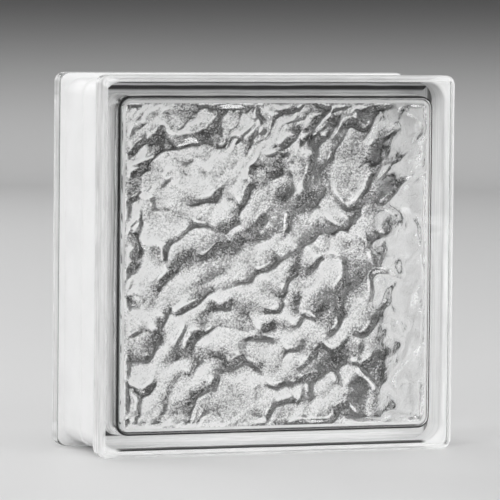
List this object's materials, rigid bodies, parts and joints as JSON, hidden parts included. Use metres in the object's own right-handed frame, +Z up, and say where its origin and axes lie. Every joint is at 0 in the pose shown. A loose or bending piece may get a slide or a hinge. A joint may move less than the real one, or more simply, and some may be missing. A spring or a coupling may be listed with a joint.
{
  "type": "glass block",
  "caption": "Square hollow glass wall block of two fused halves with a crumpled ice relief inside both panes, proud flanges and white-coated mortar channels.",
  "frame": {"origin": "under the middle of the block, at the level of the lower lands it stands on", "axes": "+Z up, -Y towards the front pane, +X to the right as seen from the front"},
  "size_m": [0.1968, 0.0794, 0.1969],
  "materials": {
    "glass": "polished outside, frosted ice relief inside",
    "coating": "matte"
  },
  "bodies": {
    "root": {"front_half": "glass", "back_half": "glass", "edge_coating": "coating"}
  },
  "joints": []
}
